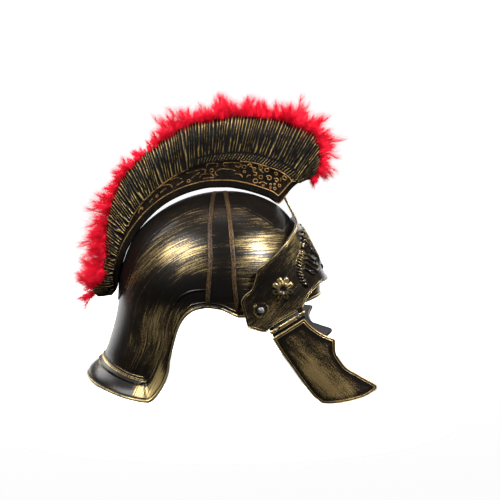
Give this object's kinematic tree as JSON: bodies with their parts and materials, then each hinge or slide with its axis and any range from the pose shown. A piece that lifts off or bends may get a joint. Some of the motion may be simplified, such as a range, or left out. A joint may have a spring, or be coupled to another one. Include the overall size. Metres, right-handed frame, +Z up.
{
  "type": "roman costume helmet with feather crest",
  "caption": "Roman-style costume helmet: domed plastic shell with flared nape, pleated crest edged in feathers, pointed frontlet on temple rivets, hinged cheek guards.",
  "frame": {"origin": "head seat: where the top of the head touches the inside of the dome", "axes": "+X towards the face, +Z up, +Y to the wearer's left"},
  "size_m": [0.3032, 0.1896, 0.3101],
  "materials": {
    "black_gold_plastic": "black moulded plastic dry-brushed with gold",
    "gilt_pleats": "black moulded plastic with gold on the raised pleats",
    "red_feather": "fluffy dyed feather",
    "rivet_steel": "dull plated"
  },
  "bodies": {
    "helmet": {"shell": "black_gold_plastic", "crest_holder": "gilt_pleats", "feather_trim": "red_feather", "temple_rivet_right": "rivet_steel", "temple_rivet_left": "rivet_steel"},
    "frontlet": {"frontlet": "black_gold_plastic", "hinge_pin_right": "rivet_steel", "hinge_pin_left": "rivet_steel"},
    "right_cheek": {"cheek_guard_right": "black_gold_plastic"},
    "left_cheek": {"cheek_guard_left": "black_gold_plastic"}
  },
  "joints": [
    {"name": "frontlet_pivot", "type": "hinge", "parent": "helmet", "child": "frontlet", "pos_m": [0.0426, 0, -0.1113], "axis": [0, 1, 0], "range_deg": [0, 20]},
    {"name": "right_cheek_hinge", "type": "hinge", "parent": "frontlet", "child": "right_cheek", "pos_m": [0.0537, -0.09, -0.1335], "axis": [-0.8502, -0.1161, -0.5136], "range_deg": [-20, 75]},
    {"name": "left_cheek_hinge", "type": "hinge", "parent": "frontlet", "child": "left_cheek", "pos_m": [0.0537, 0.09, -0.1335], "axis": [0.8502, -0.1161, 0.5136], "range_deg": [-5, 120]}
  ]
}
